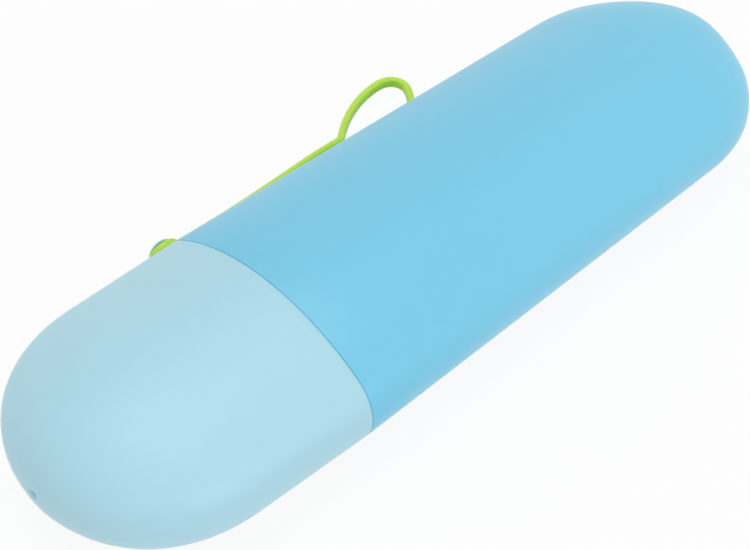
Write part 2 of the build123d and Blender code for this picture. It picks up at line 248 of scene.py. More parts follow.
@dataclass(frozen=True)
class Finish:
    """A moulded or metal finish.

    Attributes:
        name: The record's slot that it stands for.
        colour: Its main colour.
        drift: The colour that it drifts towards in soft clouds.
        roughness: Mean roughness.
        spread: How far the roughness wanders.
        clouds: Size of the clouds of colour.
        grain: Size of the surface's grain.
        relief: Strength of the grain's bump.
        metallic: 1 for metal.
        sheen: Weight of the soft pale edge of a silky surface.
        sheen_width: How far that edge reaches in.
        soft: Share of the light that spreads inside it.
        depth: How far that light spreads.
        bleed: Share of that distance that red, green and blue light reach.
    """

    name: str
    colour: Colour
    drift: Colour
    roughness: float = 0.5
    spread: float = 0.06
    clouds: float = 1.0 / 18.0
    grain: float = 0.35 * MM
    relief: float = 0.05
    metallic: float = 0.0
    sheen: float = 0.0
    sheen_width: float = 0.3
    soft: float = 0.0
    depth: float = 1.5 * MM
    bleed: Colour = (0.6, 0.9, 1.0)

    def material(self) -> Material:
        """Builds the material, unless it is there already.

        Returns:
            The material: two near colours in soft clouds, under a fine grain.
        """
        title = f"{self.name}_finish"
        found = bpy.data.materials.get(title)
        if found:
            return found
        made = bpy.data.materials.new(title)
        shader = Shader(made)
        clouds = shader.noise(1.0 / self.clouds, 2.0)
        fine = shader.noise(1.0 / self.grain, 3.0)
        relief = {"Strength": self.relief, "Distance": self.grain, "Height": fine}
        bump = shader.node("ShaderNodeBump", {}, relief)
        values = {
            "Base Color": shader.blend_colours(clouds, self.colour, self.drift),
            "Roughness": self.roughness + self.spread * (fine - 0.5),
            "Metallic": self.metallic,
            "Sheen Weight": self.sheen,
            "Sheen Roughness": self.sheen_width,
            "Subsurface Weight": self.soft,
            "Subsurface Radius": self.bleed,
            "Subsurface Scale": self.depth,
            "Normal": bump.outputs["Normal"],
        }
        surface = shader.node("ShaderNodeBsdfPrincipled", {}, values)
        shader.node("ShaderNodeOutputMaterial", {}, {"Surface": surface.outputs[0]})
        return made


SKY_BLUE = Finish(
    "sky_blue_plastic",
    linear(119, 202, 232),
    linear(122, 204, 233),
    roughness=0.36,
    sheen=0.12,
    soft=0.3,
)
PALE_BLUE = Finish(
    "pale_blue_plastic",
    linear(173, 218, 232),
    linear(177, 221, 234),
    roughness=0.4,
    sheen=0.08,
    soft=0.3,
)
INNER_WHITE = Finish("inner_plastic", linear(222, 234, 238), linear(228, 238, 241), roughness=0.42)
STUD_BLUE = Finish(
    "stud_plastic", linear(150, 206, 214), linear(156, 210, 217), roughness=0.35, soft=0.3
)
CLIP_STEEL = Finish(
    "clip_steel",
    linear(190, 192, 195),
    linear(200, 201, 203),
    roughness=0.3,
    relief=0.02,
    metallic=1.0,
)
GREEN_SILICONE = Finish(
    "green_silicone",
    linear(180, 221, 66),
    linear(187, 226, 74),
    roughness=0.4,
    relief=0.01,
    sheen=0.15,
    soft=0.9,
    depth=3.0 * MM,
    bleed=(1.0, 0.9, 0.3),
)


# --- Modelling tools ---


def pick(*objects: Object) -> None:
    """Selects only these objects, and makes the last one active."""
    bpy.ops.object.select_all(action="DESELECT")
    for item in objects:
        item.select_set(True)
    bpy.context.view_layer.objects.active = objects[-1]


def edit(item: Object, work: Callable[[], None]) -> None:
    """Runs some work in an object's edit mode, with everything selected at its start.

    Args:
        item: The object.
        work: What is done in edit mode.
    """
    pick(item)
    bpy.ops.object.mode_set(mode="EDIT")
    bpy.ops.mesh.select_mode(type="VERT")
    bpy.ops.mesh.select_all(action="SELECT")
    work()
    bpy.ops.object.mode_set(mode="OBJECT")


def settle(item: Object) -> Object:
    """Puts an object's place, turn and scale into its mesh and returns it."""
    pick(item)
    bpy.ops.object.transform_apply(location=True, rotation=True, scale=True)
    return item


def modify(item: Object, kind: str, **settings: Any) -> None:
    """Adds a modifier and applies it.

    Args:
        item: The object.
        kind: The modifier's type.
        settings: The modifier's settings.
    """
    pick(item)
    modifier = item.modifiers.new(kind.lower(), kind)
    for key, setting in settings.items():
        setattr(modifier, key, setting)
    bpy.ops.object.modifier_apply(modifier=modifier.name)


def carve(item: Object, tool: Object, operation: str = "DIFFERENCE") -> None:
    """Cuts, joins or crosses an object with a tool, which is used up."""
    modify(item, "BOOLEAN", operation=operation, object=tool, solver="EXACT")
    bpy.data.objects.remove(tool, do_unlink=True)


def soften(item: Object, width: float, angle: float) -> None:
    """Bevels edges that are sharper than an angle.

    Args:
        item: The object.
        width: Width of the bevel.
        angle: The angle in degrees.
    """
    limit = {"limit_method": "ANGLE", "angle_limit": math.radians(angle)}
    modify(item, "BEVEL", width=width, segments=3, **limit)


def pin(place: Vector, radius: float, length: float, along: str, sides: int = 64) -> Object:
    """Adds a round pin.

    Args:
        place: Its middle.
        radius: Its radius.
        length: Its length.
        along: The axis that it points along, X, Y or Z.
        sides: How many sides its round has.

    Returns:
        The pin.
    """
    turn = {"X": (0, math.pi / 2, 0), "Y": (math.pi / 2, 0, 0), "Z": (0, 0, 0)}[along]
    bpy.ops.mesh.primitive_cylinder_add(
        vertices=sides, radius=radius, depth=length, location=place, rotation=turn
    )
    return settle(bpy.context.object)


def ball(place: Vector, radius: float) -> Object:
    """Adds a ball.

    Args:
        place: Its middle.
        radius: Its radius.

    Returns:
        The ball.
    """
    bpy.ops.mesh.primitive_uv_sphere_add(segments=48, ring_count=24, radius=radius, location=place)
    return settle(bpy.context.object)


def block(low: Vector, high: Vector) -> Object:
    """Adds a box between two corners.

    Args:
        low: Its lowest corner.
        high: Its highest corner.

    Returns:
        The box.
    """
    bpy.ops.mesh.primitive_cube_add(size=1.0, location=(low + high) / 2)
    made = bpy.context.object
    made.scale = high - low
    return settle(made)


def draw_out(step: Vector | Triple) -> None:
    """Extrudes the selection by a step."""
    bpy.ops.mesh.extrude_region_move(TRANSFORM_OT_translate={"value": step})


def close_up(weld: float = 0.0) -> None:
    """Merges points that are nearer than the weld, if there is one, and turns faces outwards."""
    bpy.ops.mesh.select_all(action="SELECT")
    if weld:
        bpy.ops.mesh.remove_doubles(threshold=weld)
    bpy.ops.mesh.normals_make_consistent(inside=False)


def spin(turn: float, steps: int, centre: Vector, axis: Vector) -> None:
    """Spins the selection by the right-hand rule, which the operator's angle runs against."""
    bpy.ops.mesh.spin(steps=steps, angle=-turn, center=centre, axis=axis)


def point(place: Vector, name: str) -> Object:
    """Adds an object with a single vertex.

    Args:
        place: Where the vertex is.
        name: The object's name.

    Returns:
        The object.
    """
    bpy.ops.mesh.primitive_circle_add(vertices=3, radius=MM, location=(0, 0, 0))
    made = bpy.context.object
    made.name = name

    def reduce() -> None:
        """Merges the circle and moves what is left."""
        bpy.ops.mesh.merge(type="CENTER")
        bpy.ops.transform.translate(value=place)

    edit(made, reduce)
    return made


def lathe(name: str, top: Vector, profile: Sequence[Pair], turns: int) -> Object:
    """Turns a profile about an axis along Y.

    Args:
        name: The object's name.
        top: The axis's point that heights are counted from.
        profile: Radius, and height along Y, of each point of the profile in turn.
        turns: How many steps the full turn has.

    Returns:
        The closed turned piece.
    """
    places = [top + Vector((radius, height, 0)) for radius, height in profile]
    made = point(places[0], name)

    def shape() -> None:
        """Draws the profile and turns it."""
        for first, second in zip(places, places[1:]):
            draw_out(second - first)
        close_up(WELD)
        bpy.ops.mesh.select_all(action="SELECT")
        spin(math.tau, turns, top, Vector((0, 1, 0)))
        close_up(WELD)

    edit(made, shape)
    return made


def finish_piece(
    item: Object, finish: Finish, body: Body | None, *nodes: str, smooth: float = 35.0
) -> None:
    """Gives a piece its finish, its body and the CAD nodes that it stands for.

    Args:
        item: The piece.
        finish: Its finish, whose name is also the record's slot.
        body: The body that it rides on, or None for a piece that rides on none.
        nodes: CAD nodes that it replaces.
        smooth: Edges flatter than this angle, in degrees, are shaded smooth.
    """
    pick(item)
    bpy.ops.object.shade_smooth_by_angle(angle=math.radians(smooth))
    item.data.materials.clear()
    item.data.materials.append(finish.material())
    if body:
        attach(item, body.value)
    if nodes:
        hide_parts(*nodes)
    carrier = body.value if body else "two bodies"
    log.info("%s: %d faces, on %s", item.name, len(item.data.polygons), carrier)


# --- The case ---


@dataclass
class Form:
    """The outer form of the case: an oval section that tapers in the cap and rounds at the ends.

    Attributes:
        tip: X of the cap's tip.
        axis: Y and Z of the case's axis.
        length: Length of the case.
        half_width: Half the width of the oval.
        half_thick: Half its thickness.
        cap_rim: From the cap's tip to its rim.
        gap: Between the two rims.
        wall: Thickness of both shells.
        arc_joint: Slope where the oval's side arcs meet its broad arcs, in degrees.
        cap_taper: Share of its size that the cap loses towards its tip.
        cap_dome: Length of the cap's rounded end.
        cap_powers: How square that end is in width and in thickness, where 2 is an ellipse.
        far_dome: Length of the rounded far end.
        far_powers: How square the far end is, in the same way.
    """

    tip: float
    axis: Pair
    length: float
    half_width: float
    half_thick: float
    cap_rim: float
    gap: float
    wall: float = 1.5 * MM
    arc_joint: float = 57.0
    cap_taper: float = 0.071
    cap_dome: float = 31.1 * MM
    cap_powers: Pair = (2.13, 2.45)
    far_dome: float = 34.6 * MM
    far_powers: Pair = (2.16, 3.22)

    @classmethod
    def from_frame(cls) -> "Form":
        """Reads the form's place and main sizes from the CAD nodes.

        Returns:
            The form.
        """
        low, high = (Vector(corner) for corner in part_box("body_shell"))
        tip = Vector(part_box("cap_shell")[0]).x
        rim = low.x - PARTING_GAP
        log.info("cap from %.4f to %.4f", tip, rim)
        middle, half = (low + high) / 2, (high - low) / 2
        return cls(
            tip=tip,
            axis=(middle.y, middle.z),
            length=high.x - tip,
            half_width=half.y,
            half_thick=half.z,
            cap_rim=rim - tip,
            gap=low.x - rim,
        )

    def place(self, along: float, across: float = 0.0, up: float = 0.0) -> Vector:
        """Point of the frame, from distances along, across and up from the cap's tip."""
        return Vector((self.tip + along, self.axis[0] + across, self.axis[1] + up))

    @staticmethod
    def _rounding(depth: float, length: float, power: float) -> float:
        """Share of its full size that a rounded end has at a depth behind its tip."""
        left = max(0.0, 1.0 - depth / length)
        return (1.0 - left**power) ** (1.0 / power)

    def shares(self, along: float, inset: float) -> Pair:
        """Says how large the section is somewhere along the case.

        Args:
            along: Where, from the cap's tip.
            inset: How far it is set in from the outside.

        Returns:
            Its width and thickness, as shares of the full section's.
        """
        taper = 1.0 - self.cap_taper * max(0.0, 1.0 - along / self.cap_rim)
        result = []
        for cap_power, far_power in zip(self.cap_powers, self.far_powers):
            front = self._rounding(along - inset, self.cap_dome - inset, cap_power)
            back = self._rounding(self.length - inset - along, self.far_dome - inset, far_power)
            result.append(taper * front * back)
        return result[0], result[1]

    def radii(self, inset: float = 0.0) -> Pair:
        """Works out the arcs of the oval.

        Args:
            inset: How far the oval is set in from the outside.

        Returns:
            The radii of its side arcs and of its broad arcs.
        """
        wide, thin = self.half_width - inset, self.half_thick - inset
        slope = math.radians(self.arc_joint)
        across, up = math.cos(slope), math.sin(slope)
        side = (wide * (1 - up) - thin * across) / (1 - up - across)
        broad = (thin * (1 - across) - wide * up) / (1 - up - across)
        return side, broad

    def outline(self, name: str, along: float, inset: float) -> Object:
        """Adds the full oval as a closed line of four arcs, spun one after the other.

        Args:
            name: The object's name.
            along: Where it stands, from the cap's tip.
            inset: How far it is set in.

        Returns:
            The outline.
        """
        wide, thin = self.half_width - inset, self.half_thick - inset
        slope = math.radians(self.arc_joint)
        side, broad = self.radii(inset)
        start = self.place(along, wide - side + side * math.cos(slope), -side * math.sin(slope))
        line = point(start, name)
        about = Vector((1, 0, 0))

        def draw() -> None:
            """Spins a side arc and a broad arc twice, and closes the line."""
            for sign in (1, -1):
                spin(2 * slope, SIDE_STEPS, self.place(along, sign * (wide - side)), about)
                centre = self.place(along, 0.0, sign * (thin - broad))
                spin(math.pi - 2 * slope, BROAD_STEPS, centre, about)
            close_up(OVAL_WELD)

        edit(line, draw)
        return line

    def skin(self, name: str, end: End, inset: float = 0.0, start: float | None = None) -> Object:
        """Draws the oval out along the case and rounds its end, open at the rim.

        Args:
            name: The object's name.
            end: Which end it runs to.
            inset: How far it is set in from the outside.
            start: Where it starts, from the cap's tip, or None for its own rim.

        Returns:
            The skin, with its faces pointing outwards.
        """
        if end is End.CAP:
            rim, base, tip = self.cap_rim, self.cap_dome, inset
        else:
            rim, base = self.cap_rim + self.gap, self.length - self.far_dome
            tip = self.length - inset
        start = rim if start is None else start
        depth = abs(tip - base)
        straight = (base - start) / STRAIGHT_STEPS
        places = [start + straight * i for i in range(1, STRAIGHT_STEPS + 1)]
        for i in range(1, DOME_STEPS):
            share = math.sin(math.pi / 2 * i / DOME_STEPS)
            places.append(tip - end.value * depth * (1 - share))
        places = [start] + [place for place in places if (place - start) * end.value > 0]
        shell = self.outline(name, start, inset)
        centre = self.place(0.0)

        def draw() -> None:
            """Draws out one ring after another, and merges the last at the tip."""
            last, share = start, (1.0, 1.0)
            for place in places:
                here = self.shares(place, inset)
                if place != start:
                    draw_out((place - last, 0, 0))
                scale = (1.0, here[0] / share[0], here[1] / share[1])
                bpy.ops.transform.resize(value=scale, center_override=centre)
                last, share = place, here
            draw_out((tip - last, 0, 0))
            bpy.ops.mesh.merge(type="CENTER")
            close_up()

        edit(shell, draw)
        return shell

    def solid(self, name: str, end: End, inset: float, start: float) -> Object:
        """Makes the same form as a solid.

        Args:
            name: The object's name.
            end: Which end it runs to.
            inset: How far it is set in from the outside.
            start: Where its flat face is, from the cap's tip.

        Returns:
            The solid.
        """
        made = self.skin(name, end, inset, start)

        def close() -> None:
            """Fills the open rim."""
            bpy.ops.mesh.select_all(action="DESELECT")
            bpy.ops.mesh.select_non_manifold()
            bpy.ops.mesh.edge_face_add()
            close_up()

        edit(made, close)
        return made

    def ring(self, name: str, start: float, end: float, outer: float, inner: float) -> Object:
        """Makes a straight oval tube.

        Args:
            name: The object's name.
            start: Where it starts, from the cap's tip.
            end: Where it ends.
            outer: How far its outside is set in.
            inner: How far its inside is set in.

        Returns:
            The tube.
        """
        made = self.outline(name, start, outer)

        def draw() -> None:
            """Draws the oval out."""
            draw_out((end - start, 0, 0))
            close_up()

        edit(made, draw)
        modify(made, "SOLIDIFY", thickness=inner - outer, offset=-1.0, use_even_offset=True)
        return made


@dataclass
class Shells:
    """The two moulded shells.

    Attributes:
        form: The case's form.
        stud: Place of the stud, from the cap's tip.
        feet: Places of the loop's two feet, from the cap's tip.
        tongue: Radius of the tongue that the cap's rim carries under the stud.
        tongue_gap: Between the tongue and its notch in the body.
        vent: Radius of the airing hole at the cap's tip, at its narrowest.
        dish: Radius of the dish round the airing hole, at the surface.
        dish_depth: Depth of that dish.
        edge: Softening of the shells' edges.
        hole: Radius of the holes for the loop's feet.
        step: How deep the joint between the shells is before it meets the lip on the body's rim.
        slack: Between that lip and the cap's rim.
        boss: Radius of the boss under the stud.
        boss_height: Its height, across the cap's wall.
        boss_sink: From the wall's inside out to the boss's middle.
        overlap: How far the tongue reaches back into the cap's wall.
        cutter: Length of the round cutters that shape the tongue and its notch.
        rib: Thickness of the ribs inside the body.
        rib_sink: How far their feet are inside the wall.
        stop_across: From the axis across to a stop rib.
        stop_length: Length of a stop rib.
        stop_height: Its height.
    """

    form: Form
    stud: float
    feet: Pair
    tongue: float = 5.2 * MM
    tongue_gap: float = 0.3 * MM
    vent: float = 0.85 * MM
    dish: float = 1.35 * MM
    dish_depth: float = 0.7 * MM
    edge: float = 0.1 * MM
    hole: float = 1.2 * MM
    step: float = 0.21 * MM
    slack: float = 0.06 * MM
    boss: float = 2.8 * MM
    boss_height: float = 1.2 * MM
    boss_sink: float = 0.1 * MM
    overlap: float = 0.6 * MM
    cutter: float = 14 * MM
    rib: float = 1.2 * MM
    rib_sink: float = 0.3 * MM
    stop_across: float = 13 * MM
    stop_length: float = 24 * MM
    stop_height: float = 2.6 * MM

    def _shell(self, name: str, end: End, lip: float = 0.0) -> Object:
        """Gives a skin its wall, a lip where one is asked for, and softened edges.

        Args:
            name: The shell's name.
            end: Which way it runs from its rim.
            lip: How far a lip in the middle of the rim stands out.

        Returns:
            The shell.
        """
        shell = self.form.skin(name, end)
        modify(shell, "SOLIDIFY", thickness=self.form.wall, offset=-1.0, use_even_offset=True)

        def step_rim() -> None:
            """Insets the rim's flat face and draws its middle out."""
            mesh = bmesh.from_edit_mesh(shell.data)
            bpy.ops.mesh.select_all(action="DESELECT")
            bpy.ops.mesh.select_mode(type="FACE")
            for face in mesh.faces:
                face.select = face.normal.x * end.value < -SQUARE_ON
            mesh.select_flush_mode()
            bmesh.update_edit_mesh(shell.data)
            bpy.ops.mesh.inset(thickness=self.step, use_boundary=True, use_even_offset=True)
            draw_out((-end.value * lip, 0, 0))

        if lip:
            edit(shell, step_rim)
        soften(shell, self.edge, angle=50)
        return shell

    def cap(self) -> None:
        """Makes the cap, with its airing hole, its tongue and the boss that carries the stud."""
        form = self.form
        side = form.half_width
        cap = self._shell("cap_shell_piece", End.CAP)
        # The airing hole, and a shallow dish round it.
        carve(cap, pin(form.place(0.0), self.vent, 4 * form.wall, "X", sides=32))
        depth = self.dish_depth
        reach = (self.dish**2 - depth**2) / (2 * depth)
        carve(cap, ball(form.place(-reach), reach + depth))
        # The tongue under the stud, and the boss behind it.
        start, end = form.cap_rim - self.overlap, self.stud + 2 * self.tongue
        tongue = form.ring("tongue", start, end, 0.0, form.wall)
        carve(tongue, pin(form.place(self.stud, side), self.tongue, self.cutter, "Y"), "INTERSECT")
        carve(cap, tongue, "UNION")
        seat = form.place(self.stud, side - form.wall + self.boss_sink)
        carve(cap, pin(seat, self.boss, self.boss_height, "Y", sides=48), "UNION")
        finish_piece(cap, PALE_BLUE, Body.CAP, "cap_shell")

    def body(self) -> None:
        """Makes the body, with the tongue's notch and the loop's holes."""
        form = self.form
        side = form.half_width
        body = self._shell("body_shell_piece", End.FAR, form.gap - self.slack)
        notch = self.tongue + self.tongue_gap
        carve(body, pin(form.place(self.stud, side), notch, self.cutter, "Y", sides=96))
        for foot in self.feet:
            carve(body, pin(form.place(foot, side), self.hole, 4 * form.wall, "Y", sides=32))
        finish_piece(body, SKY_BLUE, Body.CASE, "body_shell")

    @staticmethod
    def _trim(rib: Object, low: Vector, high: Vector) -> None:
        """Keeps what a rib has between two corners, as a piece of the body."""
        carve(rib, block(low, high), "INTERSECT")
        finish_piece(rib, SKY_BLUE, Body.CASE)

    def ribs(self, stop_start: float, cross_start: float) -> None:
        """Makes the ribs inside the body.

        Args:
            stop_start: Where the ribs start that the cradle seats against, from the cap's tip.
            cross_start: Where the crossed ribs start that the handle stands against.
        """
        form = self.form
        half = self.rib / 2
        foot = form.wall - self.rib_sink
        for number, sides in enumerate(((half, form.half_thick), (form.half_width, half))):
            rib = form.solid(f"cross_rib_{number + 1}", End.FAR, foot, cross_start)
            low = form.place(cross_start - MM, -sides[0], -sides[1])
            self._trim(rib, low, form.place(form.length + MM, *sides))
        stop_end = stop_start + self.stop_length
        top = form.wall + self.stop_height
        for name, across in (("left", -self.stop_across), ("right", self.stop_across)):
            rib = form.ring(f"stop_rib_{name}", stop_start, stop_end, foot, top)
            low = form.place(stop_start - MM, across - half, -form.half_thick)
            self._trim(rib, low, form.place(stop_end + MM, across + half, form.half_thick))


@dataclass
class Stud:
    """The mushroom-headed stud on the cap's rim.

    Attributes:
        form: The case's form.
        along: Place of its axis, from the cap's tip.
        head: Radius of its head.
        head_thick: Thickness of its head.
        edge: Upright edge of the head, below its crown.
        stem: Radius of the stem that the eyelet closes round.
        shank: Radius of the shank that goes through the cap's wall.
        fillet: Slope between the head and the stem.
        chamfer: Slope at the shank's tip.
        edge_round: Softening of its edges.
    """

    form: Form
    along: float
    head: float = 3.4 * MM
    head_thick: float = 1.0 * MM
    edge: float = 0.45 * MM
    stem: float = 1.6 * MM
    shank: float = 1.2 * MM
    fillet: float = 0.35 * MM
    chamfer: float = 0.25 * MM
    edge_round: float = 0.16 * MM

    def build(self) -> None:
        """Turns the stud about its own axis, from its crown down to its shank's tip."""
        low, high = (Vector(corner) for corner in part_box("cap_stud"))
        side = self.form.place(0.0, self.form.half_width).y
        crown = Vector((self.form.tip + self.along, high.y, self.form.axis[1]))
        seat, tip = side - high.y, low.y - high.y
        steps = 10
        rise = self.head_thick - self.edge
        profile = [(self.head * i / steps, -rise * (i / steps) ** 2) for i in range(steps + 1)]
        profile += [
            (self.head, -self.head_thick),
            (self.stem + self.fillet, -self.head_thick),
            (self.stem, -self.head_thick - self.fillet),
            (self.stem, seat),
            (self.shank, seat),
            (self.shank, tip + self.chamfer),
            (self.shank - self.chamfer, tip),
            (0.0, tip),
        ]
        stud = lathe("stud_piece", crown, profile, turns=64)
        soften(stud, self.edge_round, angle=40)
        finish_piece(stud, STUD_BLUE, Body.CAP, "cap_stud", smooth=50)


@dataclass
class Strap:
    """The soft moulding: eyelet, band and finger loop in one.

    Attributes:
        form: The case's form.
        stud: Place of the stud, from the cap's tip.
        feet: Places of the loop's feet, from the cap's tip.
        knuckle: Where the band bends, from the cap's tip and out from the side.
        joints: Ends of the loop's arcs, behind the front foot and out from the side.
        lean: Slope of the loop's front leg at its foot, in degrees.
        bend: Length that bends at the knuckle, off the front leg's side.
        easing: How many times the loop's line is smoothed where its arcs meet.
        cord: Thickness of the loop in its own plane, and its width.
        cord_corner: Radius of its corners.
        band: Thickness and width of the band.
        band_round: Radius of its corners, as a share of its thickness.
        rise: Out from the side to the band's middle at the eyelet, and at the loop.
        hug: How long the band stays low along the shell before it rises, 1 for evenly.
        tuck: How far the band's two ends reach into the loop's leg and into the eyelet.
        eyelet: Radius of the eyelet.
        eyelet_hole: Radius of its hole.
        eyelet_thick: Its thickness.
        eyelet_edge: Softening of its edges.
        lift: Between the eyelet and the case.
        root: How far the loop's line goes on inside the wall.
        plug: Radius of the plugs that hold the loop.
        plug_out: How far their outer ends stand out from the case's side, inside the loop.
        barb: Radius of their barbs.
        barb_tip: Radius of the barbs' flat tips.
        depths: From a plug's outer end to its neck, its barb's shoulder and brim, and its tip.
        grain: Size of the small cells by which the moulding is fused.
        melting: How many times the fused moulding is smoothed.
    """

    form: Form
    stud: float
    feet: Pair
    knuckle: Pair
    joints: tuple[Pair, ...] = (
        (17.5 * MM, 11.65 * MM),
        (28.1 * MM, 13.4 * MM),
        (31.4 * MM, 6.8 * MM),
    )
    lean: float = 47.8
    bend: float = 2.4 * MM
    easing: int = 24
    cord: Pair = (1.85 * MM, 2.7 * MM)
    cord_corner: float = 0.6 * MM
    band: Pair = (2.1 * MM, 4.2 * MM)
    band_round: float = 0.49
    rise: Pair = (1.25 * MM, 3.12 * MM)
    hug: float = 1.45
    tuck: Pair = (3.0 * MM, 1.4 * MM)
    eyelet: float = 4.4 * MM
    eyelet_hole: float = 1.9 * MM
    eyelet_thick: float = 2.2 * MM
    eyelet_edge: float = 0.6 * MM
    lift: float = 0.2 * MM
    root: float = 1.4 * MM
    plug: float = 1.12 * MM
    plug_out: float = 0.6 * MM
    barb: float = 2.05 * MM
    barb_tip: float = 0.6 * MM
    depths: tuple[float, float, float, float] = (2.55 * MM, 2.75 * MM, 3.0 * MM, 4.1 * MM)
    grain: float = 0.2 * MM
    melting: int = 6

    def _section(
        self, name: str, middle: Vector, run: Vector, size: Pair, corner: float
    ) -> Object:
        """Adds a filled rounded rectangle across a direction in the XY plane.

        Args:
            name: The object's name.
            middle: Its middle.
            run: The direction that it is square to.
            size: Its thickness in the XY plane and its width along Z.
            corner: Radius of its corners.

        Returns:
            The section, facing along the run.
        """
        turn = math.atan2(run.y, run.x)
        bpy.ops.mesh.primitive_plane_add(size=1.0, rotation=(math.pi / 2, 0, turn + math.pi / 2))
        made = bpy.context.object
        made.name = name
        made.scale = (*size, 1.0)
        settle(made)
        made.location = middle
        settle(made)
        edit(made, lambda: bpy.ops.mesh.bevel(offset=corner, segments=8, affect="VERTICES"))
        return made

    @staticmethod
    def _arc(first: Vector, second: Vector, run: Vector) -> tuple[Vector, float]:
        """Finds the arc in the XY plane that leaves one point along a run for another.

        Args:
            first: Where it starts.
            second: Where it ends.
            run: Its direction at the start.

        Returns:
            Its centre and its turn.
        """
        chord = second - first
        left = Vector((-run.y, run.x, 0))
        lean = chord.dot(left) or 1e-12  # a straight step is an arc with a huge radius
        turn = 2 * math.atan2(lean, chord.dot(run))
        return first + left * (chord.length_squared / (2 * lean)), turn

    def _eased(self, line: list[Vector]) -> list[Vector]:
        """Smooths a line between its ends, which pulls it in a little.

        Args:
            line: The line's points.

        Returns:
            The smoothed line's points.
        """
        for _ in range(self.easing):
            middles = [(a + 2 * b + c) / 4 for a, b, c in zip(line, line[1:], line[2:])]
            line = [line[0], *middles, line[-1]]
        return line

    def _loop_line(self) -> list[Vector]:
        """Draws the loop's middle: a chain of tangent arcs that ease into one another.

        Easing once pulls the line in, and easing twice shows by how much, so that is put back.

        Returns:
            Its points, from the front foot to the rear one.
        """
        side = self.form.half_width
        steps = [(0.0, 0.0), *self.joints, (self.feet[1] - self.feet[0], 0.0)]
        corners = [self.form.place(self.feet[0] + along, side + out) for along, out in steps]
        slope = math.radians(self.lean)
        run = Vector((math.cos(slope), math.sin(slope), 0))
        line = [corners[0]]
        for first, second in zip(corners, corners[1:]):
            centre, turn = self._arc(first, second, run)
            spoke = first - centre
            pieces = max(3, round(abs(turn) * spoke.length / LOOP_STEP))
            for i in range(1, pieces + 1):
                line.append(centre + Matrix.Rotation(turn * i / pieces, 3, "Z") @ spoke)
            run = Matrix.Rotation(turn, 3, "Z") @ run
        once = self._eased(line)
        twice = self._eased(once)
        return [2 * first - second for first, second in zip(once, twice)]

    def loop(self) -> Object:
        """Spins the loop's section along its line, from foot to foot.

        Returns:
            The loop, with a short root inside the wall at each foot.
        """
        line = self._loop_line()
        run = (line[1] - line[0]).normalized()
        start = line[0] - run * self.root
        loop = self._section("finger_loop_piece", start, run, self.cord, self.cord_corner)

        def draw() -> None:
            """Draws the section along the line, from root to root."""
            nonlocal run
            draw_out(run * self.root)
            for first, second in zip(line, line[1:]):
                centre, turn = self._arc(first, second, run)
                spin(turn, 1, centre, Vector((0, 0, 1)))
                run = Matrix.Rotation(turn, 3, "Z") @ run
            draw_out(run * self.root)
            close_up(LOOP_WELD)

        edit(loop, draw)
        return loop

    def _band_line(self, along: float) -> float:
        """Says how far the band stands out: it eases off the shell towards the loop.

        Args:
            along: Where, from the cap's tip.

        Returns:
            From the case's side out to the band's middle.
        """
        start, end = self.stud + self.eyelet, self.feet[0]
        share = max(0.0, min(1.0, (along - start) / (end - start))) ** self.hug
        return self.rise[0] + (self.rise[1] - self.rise[0]) * (3 - 2 * share) * share * share

    def strip(self) -> Object:
        """Draws the band from inside the loop's front leg to the eyelet's edge.

        Returns:
            The band, with round edges.
        """
        leg, end = self.feet[0] + self.tuck[0], self.stud + self.eyelet - self.tuck[1]
        start = self.form.place(leg, self.form.half_width + self.rise[1])
        corner = self.band_round * self.band[0]
        band = self._section("closure_strap_piece", start, Vector((-1, 0, 0)), self.band, corner)

        def draw() -> None:
            """Draws the section towards the eyelet in short steps."""
            last = Vector((leg, self.rise[1], 0))
            for i in range(1, BAND_STEPS + 1):
                along = leg + (end - leg) * i / BAND_STEPS
                here = Vector((along, self._band_line(along), 0))
                draw_out(here - last)
                last = here
            close_up()

        edit(band, draw)
        return band

    def ring(self) -> Object:
        """Turns the eyelet's section about its hole and bends it over the side.

        Returns:
            The eyelet, round the stud's stem.
        """
        half, corner = self.eyelet_thick / 2, self.eyelet_edge
        cut = 0.3 * corner  # how far the outer corner's middle point is from its two sides
        upper = [
            (self.eyelet_hole, half - corner / 2),
            (self.eyelet_hole + corner / 2, half),
            (self.eyelet - corner, half),
            (self.eyelet - cut, half - cut),
            (self.eyelet, half - corner),
        ]
        lower = [(radius, -height) for radius, height in reversed(upper)]
        profile = [lower[-1], *upper, *lower]
        ring = lathe("strap_eyelet_piece", Vector((0, 0, 0)), profile, turns=96)
        modify(ring, "SUBSURF", levels=1, render_levels=1)
        bend = 2 * self.eyelet / (self.form.radii()[0] + self.lift + half)
        modify(ring, "SIMPLE_DEFORM", deform_method="BEND", deform_axis="X", angle=-bend)
        ring.location = self.form.place(self.stud, self.form.half_width + self.lift + half)
        return settle(ring)

    def plugs(self) -> list[Object]:
        """Turns the two plugs that hold the loop through the body's wall, with their barbs.

        Returns:
            The plugs.
        """
        neck, shoulder, brim, tip = self.depths
        profile = [
            (0.0, 0.0),
            (self.plug, 0.0),
            (self.plug, -neck),
            (self.barb, -shoulder),
            (self.barb, -brim),
            (self.barb_tip, -tip),
            (0.0, -tip),
        ]
        out = self.form.half_width + self.plug_out
        return [
            lathe(f"plug_{number}", self.form.place(foot, out), profile, turns=32)
            for number, foot in enumerate(self.feet)
        ]

